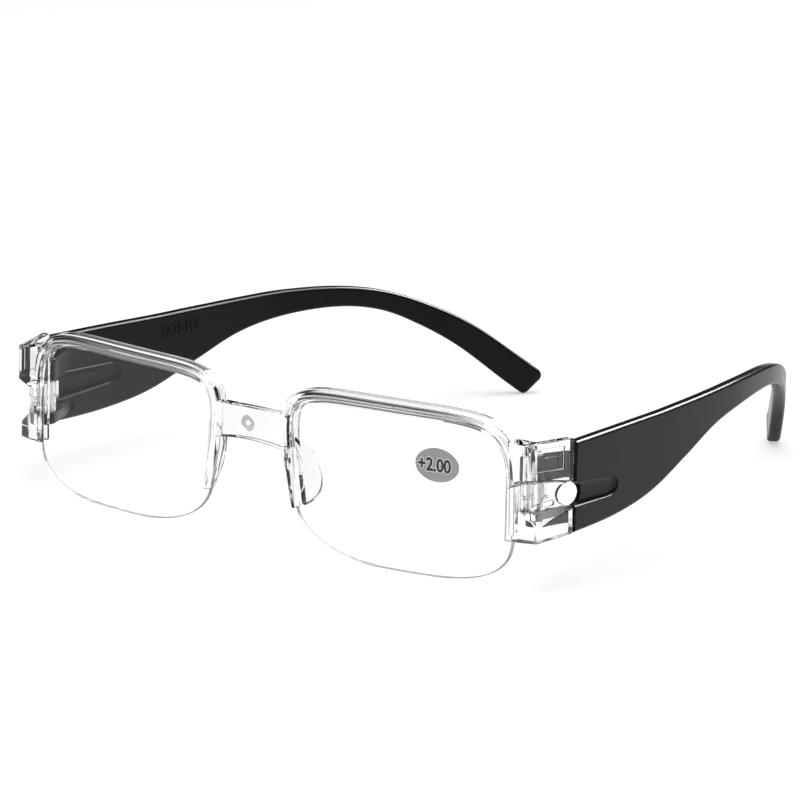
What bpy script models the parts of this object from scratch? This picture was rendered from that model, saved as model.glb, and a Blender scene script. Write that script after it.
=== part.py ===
"""Half rim reading glasses: a clear moulded front, two lenses, two folding temples on hinge screws.

Metres, +Z up. The glasses stand as worn, on the lower edges of the lenses and the tips of the temples:
the front faces -Y and the wearer's left is +X. Shapes are drawn with Y = 0 at the front outer corner
of the end pieces, and hang on one empty that brings the middle of the whole to Y = 0.
"""

import math

import bmesh
import bpy
from mathutils import Vector

MM = 0.001
SIDES = {"left": 1, "right": -1}
GAP = 0.3 * MM  # kept between pieces that touch on the real object

# Face form: the front surface of the lenses, y = f(|x|, z).
FACE_Y = -3.8 * MM
FACE_SLOPE = 0.0354
FACE_BOW = 1.156  # per metre
FACE_LEAN = 0.017

# Lenses, in front view.
LENS_MID_X = 36.8 * MM
LENS_HALF_WIDTH = 25.9 * MM
LENS_MID_Z = 13.7 * MM
LENS_TOP = 34.8 * MM
LENS_THICKNESS = 1.2 * MM
NASAL_SPREAD = 0.085  # how much wider the nasal half grows for each unit of height
# Squareness of each quarter of the outline: 2 is an ellipse.
TOP_TEMPORAL, TOP_NASAL, LOW_NASAL, LOW_TEMPORAL = 5.0, 7.0, 2.5, 3.25
OUTLINE_POINTS = 76

# Half rims. The section is (outwards from the opening's edge, backwards from the lens front).
RIM_OVERLAP = 1.1 * MM  # how far the rim covers the lens
RIM_SECTION = [
    (0.0, -0.8),
    (0.7, -0.9),
    (0.9, -1.6),
    (1.6, -2.0),
    (2.3, -1.6),
    (2.95, -0.6),
    (2.95, 1.7),
    (2.6, 2.0),
    (0.4, 2.0),
    (0.0, 1.8),
]
RIM_TEMPORAL_END_Z = 12.0 * MM
RIM_NASAL_END_Z = 9.9 * MM
RIM_POINTS = 44
LEG_NARROW_Z = 20.4 * MM  # below this the nasal leg tapers towards its hooked end
LEG_END_WIDTH = 0.32  # of the section's width

# Bridge.
BRIDGE_HALF = 9.4 * MM
BRIDGE_FLAT_HALF = 7.0 * MM
BRIDGE_TOP, BRIDGE_LOW, BRIDGE_ARCH = 29.8 * MM, 21.9 * MM, 0.9 * MM
BRIDGE_FRONT, BRIDGE_BACK = -5.5 * MM, -2.4 * MM
GATE_Z, GATE_RADIUS, GATE_DEPTH = 26.5 * MM, 1.75 * MM, 0.35 * MM

# Nose pads: fins that run back from the nasal legs, flaring apart.
PAD_ROOT = Vector((8.9 * MM, -4.2 * MM))
PAD_FLARE = math.radians(20)
PAD_SPLAY = 0.19  # how fast the pads part below the leg's taper
PAD_THICKNESS = 1.5 * MM
PAD_OUTLINE = [  # (backwards, up)
    (0.0, 24.9),
    (2.6, 24.6),
    (5.0, 23.2),
    (6.8, 20.7),
    (7.8, 17.4),
    (7.9, 14.8),
    (7.0, 12.6),
    (5.0, 11.0),
    (2.4, 10.2),
    (0.0, 9.9),
]

# End pieces, in plan: an upright L of front plate and outer wall.
END_LOW, END_TOP = 10.5 * MM, 31.7 * MM
WAIST_PLAN = [(61.6, 1.2), (64.0, 1.5), (65.9, 2.6), (69.8, 12.7), (68.7, 12.7), (66.4, 4.8), (61.6, 4.8)]
UPPER_PLAN = [(62.3, 0.9), (63.6, 0.25), (66.9, 0.0), (70.6, 12.7), (68.7, 12.7), (66.4, 4.8), (62.3, 4.8)]
FOOT_PLAN = [(61.6, 1.2), (65.2, 1.9), (68.5, 3.1), (70.7, 12.7), (68.7, 12.7), (66.5, 5.2), (61.6, 4.8)]
FOOT_RISE = 0.085  # how fast the foot's underside rises towards the temple
# Heights of the three corners (outer front, outer rear, inner front) of each sloping flank.
UPPER_FLANK = [(66.9, 0.0, 24.2), (70.6, 12.7, 22.7), (65.9, 2.6, 23.0)]
FOOT_FLANK = [(68.5, 3.1, 14.0), (70.7, 12.7, 16.8), (65.9, 2.6, 16.4)]
PANEL_Y, PANEL_Z, PANEL_DEPTH = (1.8, 10.7), (25.5, 30.4), 0.45
HOLE_Y, HOLE_Z = 12.95 * MM, 19.8 * MM
HOLE_HALF_LENGTH, HOLE_HALF_HEIGHT = 3.25 * MM, 2.6 * MM

# Hinges: an upright screw through one clear lug and the two black knuckles of the temple.
PIN_X, PIN_Y, PIN_Z = 64.8 * MM, 7.6 * MM, 20.0 * MM
PIN_LEAN = Vector((-0.034, -0.017))  # the axis leans in and forwards as it rises
KNUCKLE_RADIUS = 2.0 * MM
LUG_LOW, LUG_STEP, LUG_TOP = 16.2 * MM, 19.0 * MM, 22.8 * MM
LOWER_KNUCKLE = (13.4 * MM, 15.9 * MM)
UPPER_KNUCKLE = (23.1 * MM, 27.9 * MM)
SCREW_RADIUS, SCREW_BORE = 0.7 * MM, 1.0 * MM
SCREW_HEAD_RADIUS, SCREW_HEAD_HEIGHT = 1.3 * MM, 0.7 * MM
SLOT_WIDTH, SLOT_DEPTH = 0.35 * MM, 0.3 * MM

# Temples: (y, x, z, half height across the arm, half thickness) along the middle line, left side.
TEMPLE_LINE = [
    (13.0, 69.70, 21.20, 9.70, 1.35),
    (29.0, 68.50, 21.15, 9.45, 1.35),
    (43.5, 67.20, 21.85, 8.45, 1.35),
    (58.0, 65.85, 23.95, 6.20, 1.35),
    (72.5, 64.15, 26.10, 3.90, 1.35),
    (87.0, 61.80, 26.95, 2.85, 1.35),
    (102.0, 57.80, 26.45, 2.30, 1.40),
    (113.5, 53.60, 24.30, 2.25, 1.40),
    (123.0, 48.80, 20.20, 2.60, 1.45),
    (132.0, 43.10, 14.50, 3.05, 1.50),
    (141.4, 36.40, 6.00, 3.35, 1.50),
    (144.6, 33.90, 3.07, 3.35, 1.50),
]
TEMPLE_STEPS = 4  # sections between one point of the line and the next
TEMPLE_CORNER = 0.95 * MM
TIP_LENGTH = 1.9 * MM
TIP_SLANT = 0.2
TIP_STEPS = 5
# The hollows in the arm's faces: start and end of the middle line, the half heights and the
# depths there, and how far the rounded end runs on, in millimetres.
OUTER_SCOOP = (71.25, 10.0, 20.0), (70.05, 26.5, 18.7), (2.85, 2.2), (0.95, 0.6), 3.9
INNER_SCOOP = (68.6, 10.0, 18.5), (66.95, 31.0, 19.1), (2.9, 1.9), (1.05, 0.8), 5.0
WEB_PLAN = [  # from the inner side of the knuckle, round by the arm, to its outer side
    (63.6, 10.4),
    (66.8, 17.6),
    (69.6, 18.0),
    (69.8, 13.5),
    (68.8, 13.1),
    (68.05, 12.45),
    (66.7, 7.8),
]

# Strength label on the left lens.
LABEL_X, LABEL_Z = 45.5 * MM, 24.2 * MM
LABEL_HALF_WIDTH, LABEL_HALF_HEIGHT = 5.05 * MM, 3.6 * MM
LABEL_THICKNESS = 0.15 * MM

RIM_FRONT_Y, TEMPLE_END_Y = -5.85 * MM, 147.33 * MM
MIDDLE_Y = (RIM_FRONT_Y + TEMPLE_END_Y) / 2


def material(name, colour, roughness, transmission=0.0, metallic=0.0):
    made = bpy.data.materials.new(name)
    made.use_nodes = True
    shader = made.node_tree.nodes["Principled BSDF"]
    shader.inputs["Base Color"].default_value = (*colour, 1)
    shader.inputs["Roughness"].default_value = roughness
    shader.inputs["Transmission Weight"].default_value = transmission
    shader.inputs["Metallic"].default_value = metallic
    return made


def finish_mesh(name, bm, look=None):
    """A mesh object from a bmesh, with its faces pointing out. Without a look it is a hidden tool."""
    bmesh.ops.remove_doubles(bm, verts=bm.verts, dist=1e-6)
    bmesh.ops.recalc_face_normals(bm, faces=bm.faces)
    mesh = bpy.data.meshes.new(name)
    bm.to_mesh(mesh)
    bm.free()
    obj = bpy.data.objects.new(name, mesh)
    bpy.context.scene.collection.objects.link(obj)
    obj.parent = ROOT
    if look:
        mesh.materials.append(look)
    else:
        obj.hide_render = True
        obj.display_type = "WIRE"
    return obj


def loft(name, rings, look=None):
    """A closed solid through rings of equal length, with both ends capped."""
    bm = bmesh.new()
    loops = [[bm.verts.new(point) for point in ring] for ring in rings]
    for near, far in zip(loops, loops[1:]):
        for i in range(len(near)):
            j = (i + 1) % len(near)
            bm.faces.new((near[i], near[j], far[j], far[i]))
    bm.faces.new(reversed(loops[0]))
    bm.faces.new(loops[-1])
    return finish_mesh(name, bm, look)


def upright(name, plan, low, high, side=1, look=None):
    """A prism over a plan in millimetres; low and high are heights or functions of (x, y)."""
    def ring(height):
        level = height if callable(height) else lambda x, y: height
        return [(side * x * MM, y * MM, level(x * MM, y * MM)) for x, y in plan]

    return loft(name, [ring(low), ring(high)], look)


def on_pin_axis(name, side, levels, look=None, segments=24):
    """A turned solid on the hinge's axis; levels are (z, radius) from the bottom up."""
    axis = Vector((*PIN_LEAN, 1))
    across = Vector((1, 0, -PIN_LEAN.x)).normalized()
    along = axis.normalized().cross(across)
    rings = []
    for z, radius in levels:
        centre = Vector((PIN_X, PIN_Y, PIN_Z)) + axis * (z - PIN_Z)
        ring = []
        for i in range(segments):
            a = 2 * math.pi * i / segments
            at = centre + radius * (across * math.cos(a) + along * math.sin(a))
            ring.append((side * at.x, at.y, at.z))
        rings.append(ring)
    return loft(name, rings, look)


def combine(target, tool, operation):
    change = target.modifiers.new(tool.name, "BOOLEAN")
    change.operation = operation
    change.solver = "EXACT"
    change.object = tool


def smooth(obj, angle=math.radians(35)):
    obj.data.shade_smooth()
    obj.data.set_sharp_from_angle(angle=angle)


def plane_height(corners):
    """Height over (x, y) of the plane through three corners in millimetres."""
    a, b, c = (Vector(corner) * MM for corner in corners)
    normal = (b - a).cross(c - a)
    return lambda x, y: a.z - (normal.x * (x - a.x) + normal.y * (y - a.y)) / normal.z


def face_y(x, z):
    return FACE_Y + FACE_SLOPE * abs(x) + FACE_BOW * x * x - FACE_LEAN * z


def lens_edge(angle):
    """(x, z) on the left lens outline: 0 is the temporal side, a quarter turn is the top."""
    c, s = math.cos(angle), math.sin(angle)
    if s >= 0:
        power = TOP_TEMPORAL if c >= 0 else TOP_NASAL
        reach_z = LENS_TOP - LENS_MID_Z
    else:
        power = LOW_TEMPORAL if c >= 0 else LOW_NASAL
        reach_z = LENS_MID_Z
    z = LENS_MID_Z + reach_z * math.copysign(abs(s) ** (2 / power), s)
    reach_x = LENS_HALF_WIDTH
    if c < 0:
        reach_x += NASAL_SPREAD * max(z - LENS_MID_Z, 0)
    return LENS_MID_X + reach_x * math.copysign(abs(c) ** (2 / power), c), z


def angle_below(z, power):
    """How far below the middle line the outline's angle is at height z."""
    return math.asin(((LENS_MID_Z - z) / LENS_MID_Z) ** (power / 2))


def even_outline(start, end, count, closed=False):
    """Points evenly spaced along the outline, each with its outward direction."""
    fine = [Vector(lens_edge(start + (end - start) * i / 2000)) for i in range(2001)]
    lengths = [0.0]
    for a, b in zip(fine, fine[1:]):
        lengths.append(lengths[-1] + (b - a).length)
    spans = count if closed else count - 1
    found, i = [], 0
    for k in range(count):
        goal = lengths[-1] * k / spans
        while i < len(fine) - 2 and lengths[i + 1] < goal:
            i += 1
        share = (goal - lengths[i]) / (lengths[i + 1] - lengths[i])
        along = (fine[i + 1] - fine[i]).normalized()
        found.append((fine[i].lerp(fine[i + 1], share), Vector((along.y, -along.x))))
    return found


def lens(name, side, grow=0.0, look=None):
    """A lens, or with grow the slightly larger shape that leaves room for it in the rim."""
    outline = even_outline(0, 2 * math.pi, OUTLINE_POINTS, closed=True)
    edge = [point + grow * out for point, out in outline]
    bm = bmesh.new()
    layers = []
    for depth in (-grow, LENS_THICKNESS + grow):
        layers.append([bm.verts.new((side * p.x, face_y(p.x, p.y) + depth, p.y)) for p in edge])
    half = OUTLINE_POINTS // 2
    for layer in layers:
        for i in range(half):
            low, low_next = -i % OUTLINE_POINTS, (-i - 1) % OUTLINE_POINTS
            corners = [layer[i], layer[i + 1], layer[low_next], layer[low]]
            bm.faces.new(list(dict.fromkeys(corners)))
    for i in range(OUTLINE_POINTS):
        j = (i + 1) % OUTLINE_POINTS
        bm.faces.new((layers[0][i], layers[0][j], layers[1][j], layers[1][i]))
    return finish_mesh(name, bm, look)


def rim_width(point, on_nasal_side):
    """Share of the rim section's width: full, but for the nasal leg's taper."""
    if not on_nasal_side or point.y > LEG_NARROW_Z:
        return 1.0
    share = (LEG_NARROW_Z - point.y) / (LEG_NARROW_Z - RIM_NASAL_END_Z)
    return 1.0 + (LEG_END_WIDTH - 1.0) * share


def half_rim(name, side, look=None):
    start = -angle_below(RIM_TEMPORAL_END_Z, LOW_TEMPORAL)
    end = math.pi + angle_below(RIM_NASAL_END_Z, LOW_NASAL)
    rings = []
    for point, out in even_outline(start, end, RIM_POINTS):
        width = rim_width(point, point.x < LENS_MID_X - LENS_HALF_WIDTH / 2)
        ring = []
        for outward, back in RIM_SECTION:
            at = point + (outward * MM * width - RIM_OVERLAP) * out
            ring.append((side * at.x, face_y(at.x, at.y) + back * MM, at.y))
        rings.append(ring)
    return loft(name, rings, look)


def bridge(name):
    """The bar between the rims: flat in front, arched underneath."""
    rings = []
    for x in (-BRIDGE_HALF, -BRIDGE_FLAT_HALF, -4 * MM, 0, 4 * MM, BRIDGE_FLAT_HALF, BRIDGE_HALF):
        low = BRIDGE_LOW + BRIDGE_ARCH * (1 - (x / BRIDGE_HALF) ** 2)
        edge = 0.5 * MM
        rings.append([
            (x, BRIDGE_FRONT + edge, low),
            (x, BRIDGE_FRONT, low + edge),
            (x, BRIDGE_FRONT, BRIDGE_TOP - edge),
            (x, BRIDGE_FRONT + edge, BRIDGE_TOP),
            (x, BRIDGE_BACK - edge, BRIDGE_TOP),
            (x, BRIDGE_BACK, BRIDGE_TOP - edge),
            (x, BRIDGE_BACK, low + edge),
            (x, BRIDGE_BACK - edge, low),
        ])
    return loft(name, rings)


def gate_mark(name):
    """The round dimple that the mould's gate leaves on the bridge."""
    turns = [2 * math.pi * i / 20 for i in range(20)]
    rings = []
    for y in (BRIDGE_FRONT - 1 * MM, BRIDGE_FRONT + GATE_DEPTH):
        rings.append([(GATE_RADIUS * math.cos(a), y, GATE_Z + GATE_RADIUS * math.sin(a)) for a in turns])
    return loft(name, rings)


def nose_pad(name, side):
    back = Vector((math.sin(PAD_FLARE), math.cos(PAD_FLARE)))
    across = Vector((back.y, -back.x))
    rings = []
    for shift, inset in ((0.0, 0.35 * MM), (0.35 * MM, 0.0), (PAD_THICKNESS - 0.35 * MM, 0.0),
                         (PAD_THICKNESS, 0.35 * MM)):
        ring = []
        for depth, height in PAD_OUTLINE:
            middle = (LUG_LOW - height * MM) / (8 * MM)
            along = depth * MM - (inset if depth else 0)
            at = PAD_ROOT + along * back + shift * across
            splay = PAD_SPLAY * max(LEG_NARROW_Z - height * MM, 0)
            ring.append((side * (at.x + splay), at.y, height * MM + inset * max(-1, min(1, middle))))
        rings.append(ring)
    return loft(name, rings)


def outer_wall_frame():
    """Corner, backward direction and outward direction of the upper block's outer face."""
    corner = Vector(UPPER_PLAN[2]) * MM
    back = (Vector(UPPER_PLAN[3]) * MM - corner).normalized()
    return corner, back, Vector((back.y, -back.x))


def panel(name, side):
    """The shallow window let into the upper block's outer face."""
    corner, back, out = outer_wall_frame()
    rings = []
    for depth in (-PANEL_DEPTH, 2.0):
        ring = []
        for y, z in zip(PANEL_Y + PANEL_Y[::-1], (PANEL_Z[0],) * 2 + (PANEL_Z[1],) * 2):
            at = corner + back * y * MM + out * depth * MM
            ring.append((side * at.x, at.y, z * MM))
        rings.append(ring)
    return loft(name, rings)


def side_hole(name, side):
    """The long round hole shared by the end piece and the temple."""
    rings = []
    for x in (66.9 * MM, 74 * MM):
        turns = [2 * math.pi * i / 24 for i in range(24)]
        rings.append([(side * x, HOLE_Y + HOLE_HALF_LENGTH * math.cos(a),
                       HOLE_Z + HOLE_HALF_HEIGHT * math.sin(a)) for a in turns])
    return loft(name, rings)


def lug(name, side):
    """The clear hinge lug: a square upper step over a round lower one."""
    x, r = PIN_X / MM, KNUCKLE_RADIUS / MM
    reach = PIN_Y / MM
    square = [(x - r, 4.0), (x + r, 4.0), (x + r, reach + 1.6), (x + r - 0.5, reach + 2.2),
              (x - r + 0.5, reach + 2.2), (x - r, reach + 1.6)]
    turns = [math.pi * i / 10 for i in range(11)]
    round_end = [(x - r, 4.0), (x + r, 4.0)] + [(x + r * math.cos(a), reach + r * math.sin(a)) for a in turns]
    upper = upright(name, square, LUG_STEP, LUG_TOP, side)
    lower = upright(name + "_low", round_end, LUG_LOW, LUG_STEP + 0.1 * MM, side)
    combine(upper, lower, "UNION")
    return upper


def screw_bore(name, side):
    return on_pin_axis(name, side, [(LOWER_KNUCKLE[0] - 2 * MM, SCREW_BORE),
                                    (UPPER_KNUCKLE[1] + 2 * MM, SCREW_BORE)])


def foot_low(_, y):
    return END_LOW + FOOT_RISE * max(y - FOOT_PLAN[2][1] * MM, 0)


def waist_low(x, y):
    return foot_low(x, y) + 0.2 * MM


def front_frame():
    body = bridge("front_frame")
    body.data.materials.append(CLEAR)
    body.hide_render = False
    body.display_type = "TEXTURED"
    upper_low, foot_high = plane_height(UPPER_FLANK), plane_height(FOOT_FLANK)
    for word, side in SIDES.items():
        solids = [
            half_rim(word + "_rim", side),
            nose_pad(word + "_pad", side),
            upright(word + "_waist", WAIST_PLAN, waist_low, END_TOP - 0.4 * MM, side),
            upright(word + "_upper_block", UPPER_PLAN, upper_low, END_TOP, side),
            upright(word + "_foot", FOOT_PLAN, foot_low, foot_high, side),
            lug(word + "_lug", side),
        ]
        for solid in solids:
            combine(body, solid, "UNION")
    combine(body, gate_mark("gate_mark"), "DIFFERENCE")
    for word, side in SIDES.items():
        combine(body, lens(word + "_lens_room", side, grow=GAP), "DIFFERENCE")
        combine(body, panel(word + "_panel", side), "DIFFERENCE")
        combine(body, side_hole(word + "_frame_hole", side), "DIFFERENCE")
        combine(body, screw_bore(word + "_lug_bore", side), "DIFFERENCE")
    smooth(body)


def spline(values, t):
    """Smooth curve through rows of numbers: row k is at t = k."""
    k = min(int(t), len(values) - 2)
    u = t - k
    before, near, far, after = (values[max(0, min(len(values) - 1, k + i))] for i in (-1, 0, 1, 2))
    mixed = []
    for a, b, c, d in zip(before, near, far, after):
        mixed.append(0.5 * (2 * b + (c - a) * u + (2 * a - 5 * b + 4 * c - d) * u * u
                            + (3 * b - a - 3 * c + d) * u ** 3))
    return mixed


def arm_section(centre, along, side, above, below, half_thick, slant=0.0):
    """A rounded oblong across the arm; slant leans its top towards the tip."""
    up = (Vector((0, 0, 1)) - along * along.z).normalized()
    across = along.cross(up)
    corner = min(TEMPLE_CORNER, half_thick * 0.9)
    ring = []
    for quarter in range(4):
        sx = 1 if quarter in (0, 3) else -1
        middle = above - corner if quarter in (0, 1) else corner - below
        for step in range(4):
            angle = math.pi / 2 * (quarter + step / 3)
            dx = sx * (half_thick - corner) + corner * math.cos(angle)
            dz = middle + corner * math.sin(angle)
            at = centre + across * dx + (up + along * slant) * dz
            ring.append((side * at.x, at.y, at.z))
    return ring


def arm(name, side, look):
    """The temple's arm, swept along its middle line, with a rounded tip."""
    count = (len(TEMPLE_LINE) - 1) * TEMPLE_STEPS
    rows = [spline(TEMPLE_LINE, i / TEMPLE_STEPS) for i in range(count + 1)]
    centres = [Vector((x, y, z)) * MM for y, x, z, _, _ in rows]
    rings = []
    for i, (centre, row) in enumerate(zip(centres, rows)):
        along = (centres[min(i + 1, count)] - centres[max(i - 1, 0)]).normalized()
        if i == 0:
            along = Vector((0, 1, 0))
        rings.append(arm_section(centre, along, side, row[3] * MM, row[3] * MM, row[4] * MM))
    tip = (centres[-1] - centres[-2]).normalized()
    half_height, half_thick = rows[-1][3] * MM, rows[-1][4] * MM
    for k in range(1, TIP_STEPS + 1):
        share = math.sin(math.pi / 2 * k / (TIP_STEPS + 0.35))
        shrink = math.sqrt(1 - share * share)
        lost = TIP_LENGTH * (1 - shrink)
        rings.append(arm_section(centres[-1] + tip * TIP_LENGTH * share, tip, side, half_height - lost,
                                 half_height - 0.45 * lost, half_thick * (0.15 + 0.85 * shrink),
                                 TIP_SLANT * share))
    return loft(name, rings, look)


def scoop(name, side, start, end, heights, depths, run_out, segments=16):
    """A tapered oval hollow with a rounded end; start and end lie near the face it is let into."""
    start, end = Vector(start) * MM, Vector(end) * MM
    along = (end - start).normalized()
    up = (Vector((0, 0, 1)) - along * along.z).normalized()
    across = along.cross(up)
    stops = [(start, heights[0], depths[0]), (end, heights[1], depths[1])]
    for k in (1, 2, 3, 4):
        angle = math.pi / 2 * k / 4.4
        shrink = math.cos(angle)
        stops.append((end + along * run_out * MM * math.sin(angle), heights[1] * shrink, depths[1] * shrink))
    rings = []
    for centre, high, deep in stops:
        ring = []
        for i in range(segments):
            a = 2 * math.pi * i / segments
            at = centre + across * deep * MM * math.cos(a) + up * high * MM * math.sin(a)
            ring.append((side * at.x, at.y, at.z))
        rings.append(ring)
    return loft(name, rings)


def knuckle(name, side, levels):
    x, r = PIN_X / MM, KNUCKLE_RADIUS / MM
    y = PIN_Y / MM
    turns = [math.pi * (0.85 + 1.13 * i / 10) for i in range(11)]
    plan = [(x + r * math.cos(a), y + r * math.sin(a)) for a in turns] + WEB_PLAN[::-1]
    return upright(name, plan, levels[0], levels[1], side)


def temple(word, side):
    body = arm(word + "_temple", side, BLACK)
    outer = scoop(word + "_outer_scoop", side, *OUTER_SCOOP)
    inner = scoop(word + "_inner_scoop", side, *INNER_SCOOP)
    for cutter in (side_hole(word + "_temple_hole", side), outer, inner):
        combine(body, cutter, "DIFFERENCE")
    combine(body, knuckle(word + "_lower_knuckle", side, LOWER_KNUCKLE), "UNION")
    combine(body, knuckle(word + "_upper_knuckle", side, UPPER_KNUCKLE), "UNION")
    combine(body, screw_bore(word + "_knuckle_bore", side), "DIFFERENCE")
    smooth(body)


def hinge_screw(word, side):
    head = UPPER_KNUCKLE[1] + GAP
    levels = [
        (LOWER_KNUCKLE[0], SCREW_RADIUS * 0.7),
        (LOWER_KNUCKLE[0] + 0.3 * MM, SCREW_RADIUS),
        (head, SCREW_RADIUS),
        (head, SCREW_HEAD_RADIUS),
        (head + SCREW_HEAD_HEIGHT * 0.6, SCREW_HEAD_RADIUS),
        (head + SCREW_HEAD_HEIGHT, SCREW_HEAD_RADIUS * 0.75),
    ]
    body = on_pin_axis(word + "_hinge_screw", side, levels, STEEL)
    half, top = SLOT_WIDTH / 2 / MM, head + SCREW_HEAD_HEIGHT
    x, y, reach = PIN_X / MM, PIN_Y / MM, 2.0
    plan = [(x - reach, y - half), (x + reach, y - half), (x + reach, y + half), (x - reach, y + half)]
    combine(body, upright(word + "_slot", plan, top - SLOT_DEPTH, top + 1 * MM, side), "DIFFERENCE")
    smooth(body)


def strength_label():
    bm = bmesh.new()
    layers = []
    for depth in (GAP + LABEL_THICKNESS, GAP):
        ring = []
        for i in range(28):
            a = 2 * math.pi * i / 28
            x, z = LABEL_X + LABEL_HALF_WIDTH * math.cos(a), LABEL_Z + LABEL_HALF_HEIGHT * math.sin(a)
            ring.append(bm.verts.new((x, face_y(x, z) - depth, z)))
        layers.append(ring)
        for i in range(14):
            corners = [ring[i], ring[i + 1], ring[(-i - 1) % 28], ring[-i % 28]]
            bm.faces.new(list(dict.fromkeys(corners)))
    for i in range(28):
        j = (i + 1) % 28
        bm.faces.new((layers[0][i], layers[0][j], layers[1][j], layers[1][i]))
    finish_mesh("strength_label", bm, GREY)


for old in list(bpy.data.objects):
    bpy.data.objects.remove(old)
ROOT = bpy.data.objects.new("glasses_origin", None)
ROOT.location.y = -MIDDLE_Y
bpy.context.scene.collection.objects.link(ROOT)
CLEAR = material("clear_moulding", (0.93, 0.95, 0.96), 0.05, transmission=1.0)
LENS = material("clear_lens", (0.97, 0.98, 0.99), 0.02, transmission=1.0)
BLACK = material("black_moulding", (0.03, 0.03, 0.032), 0.35)
STEEL = material("screw_steel", (0.6, 0.6, 0.6), 0.3, metallic=1.0)
GREY = material("label_film", (0.5, 0.5, 0.5), 0.6)

front_frame()
for WORD, SIDE in SIDES.items():
    smooth(lens(WORD + "_lens", SIDE, look=LENS))
    temple(WORD, SIDE)
    hinge_screw(WORD, SIDE)
strength_label()
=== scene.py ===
import math

import bmesh
import bpy
from mathutils import Matrix, Vector


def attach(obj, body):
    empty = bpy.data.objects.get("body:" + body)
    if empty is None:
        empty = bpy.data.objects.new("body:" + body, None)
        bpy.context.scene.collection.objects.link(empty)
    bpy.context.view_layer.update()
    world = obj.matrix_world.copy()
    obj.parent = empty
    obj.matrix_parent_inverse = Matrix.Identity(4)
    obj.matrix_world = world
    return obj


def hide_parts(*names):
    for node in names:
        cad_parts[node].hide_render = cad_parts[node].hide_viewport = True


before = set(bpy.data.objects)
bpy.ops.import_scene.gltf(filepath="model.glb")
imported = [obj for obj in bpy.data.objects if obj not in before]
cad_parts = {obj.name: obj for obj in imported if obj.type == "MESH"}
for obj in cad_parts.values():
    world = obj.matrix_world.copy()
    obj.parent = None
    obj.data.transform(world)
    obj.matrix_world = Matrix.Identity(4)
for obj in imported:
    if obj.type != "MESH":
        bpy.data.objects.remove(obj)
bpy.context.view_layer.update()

MM = 0.001
SIDES = {"left": 1, "right": -1}
GAP = 0.3 * MM
MIDDLE_Y = 70.74 * MM

# ---------------------------------------------------------------- the shape's dimensions
FACE_Y, FACE_SLOPE, FACE_BOW, FACE_LEAN = -3.8 * MM, 0.0354, 1.156, 0.017

LENS_MID_X, LENS_HALF_WIDTH = 36.8 * MM, 25.9 * MM
LENS_MID_Z, LENS_TOP, LENS_THICKNESS = 13.7 * MM, 34.8 * MM, 1.2 * MM
NASAL_SPREAD = 0.085
TOP_TEMPORAL, TOP_NASAL, LOW_NASAL, LOW_TEMPORAL = 5.0, 7.0, 2.5, 3.25
OUTLINE_POINTS = 240

RIM_OVERLAP = 1.1 * MM
RIM_SECTION = [  # (outwards, backwards, corner radius)
    (0.0, -0.8, 0.1),
    (0.75, -0.9, 0.15),
    (0.95, -1.6, 0.2),
    (1.6, -2.0, 0.35),
    (2.3, -1.6, 0.3),
    (2.95, -0.6, 0.35),
    (2.95, 1.7, 0.35),
    (2.6, 2.0, 0.2),
    (0.4, 2.0, 0.25),
    (0.0, 1.8, 0.15),
]
RIM_TEMPORAL_END_Z, RIM_NASAL_END_Z = 12.0 * MM, 9.9 * MM
RIM_POINTS, RIM_BEVEL = 150, 0.18 * MM
LEG_NARROW_Z, LEG_END_WIDTH = 20.4 * MM, 0.32

BRIDGE_HALF = 9.4 * MM
BRIDGE_TOP, BRIDGE_LOW, BRIDGE_ARCH = 29.8 * MM, 21.9 * MM, 0.9 * MM
BRIDGE_FRONT, BRIDGE_BACK = -5.5 * MM, -2.4 * MM
BRIDGE_STEPS, BRIDGE_CORNER = 12, 0.5
GATE_Z, GATE_RADIUS, GATE_DEPTH = 26.5 * MM, 1.75 * MM, 0.35 * MM
GATE_RING_INNER, GATE_MIDDLE = 0.42, 0.38  # shares of the gate mark's radius
GATE_MIDDLE_DEPTH = 0.1 * MM

PAD_ROOT = Vector((8.9 * MM, -4.2 * MM))
PAD_FLARE, PAD_SPLAY, PAD_THICKNESS = math.radians(20), 0.19, 1.5 * MM
PAD_OUTLINE = [
    (0.0, 24.9), (2.6, 24.6), (5.0, 23.2), (6.8, 20.7), (7.8, 17.4),
    (7.9, 14.8), (7.0, 12.6), (5.0, 11.0), (2.4, 10.2), (0.0, 9.9),
]
PAD_STEPS, PAD_BEVEL = 5, 0.4 * MM

END_LOW, END_TOP, END_BEVEL = 10.5 * MM, 31.7 * MM, 0.28 * MM
WAIST_RAISE, WAIST_DROP, WAIST_BEVEL = 0.2 * MM, 0.4 * MM, 0.13 * MM
WAIST_SLOT = [(1.6, 16.9, 0.5), (7.0, 17.8, 0.5), (7.0, 19.0, 0.5), (1.6, 18.1, 0.5)]
WAIST_SLOT_DEPTH, CUT_PAST = 0.8, 2.0
WAIST_PLAN = [(61.6, 1.2), (64.0, 1.5), (65.9, 2.6), (69.8, 12.7), (68.7, 12.7), (66.4, 4.8), (61.6, 4.8)]
UPPER_PLAN = [(62.3, 0.9), (63.6, 0.25), (66.9, 0.0), (70.6, 12.7), (68.7, 12.7), (66.4, 4.8), (62.3, 4.8)]
FOOT_PLAN = [(61.6, 1.2), (65.2, 1.9), (68.5, 3.1), (70.7, 12.7), (68.7, 12.7), (66.5, 5.2), (61.6, 4.8)]
FOOT_RISE = 0.085
UPPER_FLANK = [(66.9, 0.0, 24.2), (70.6, 12.7, 22.7), (65.9, 2.6, 23.0)]
FOOT_FLANK = [(68.5, 3.1, 14.0), (70.7, 12.7, 16.8), (65.9, 2.6, 16.4)]
PANEL_Y, PANEL_Z, PANEL_DEPTH, PANEL_BEVEL = (1.8, 10.7), (25.5, 30.4), 0.45, 0.15 * MM
HOLE_Y, HOLE_Z = 12.95 * MM, 19.8 * MM
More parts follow.
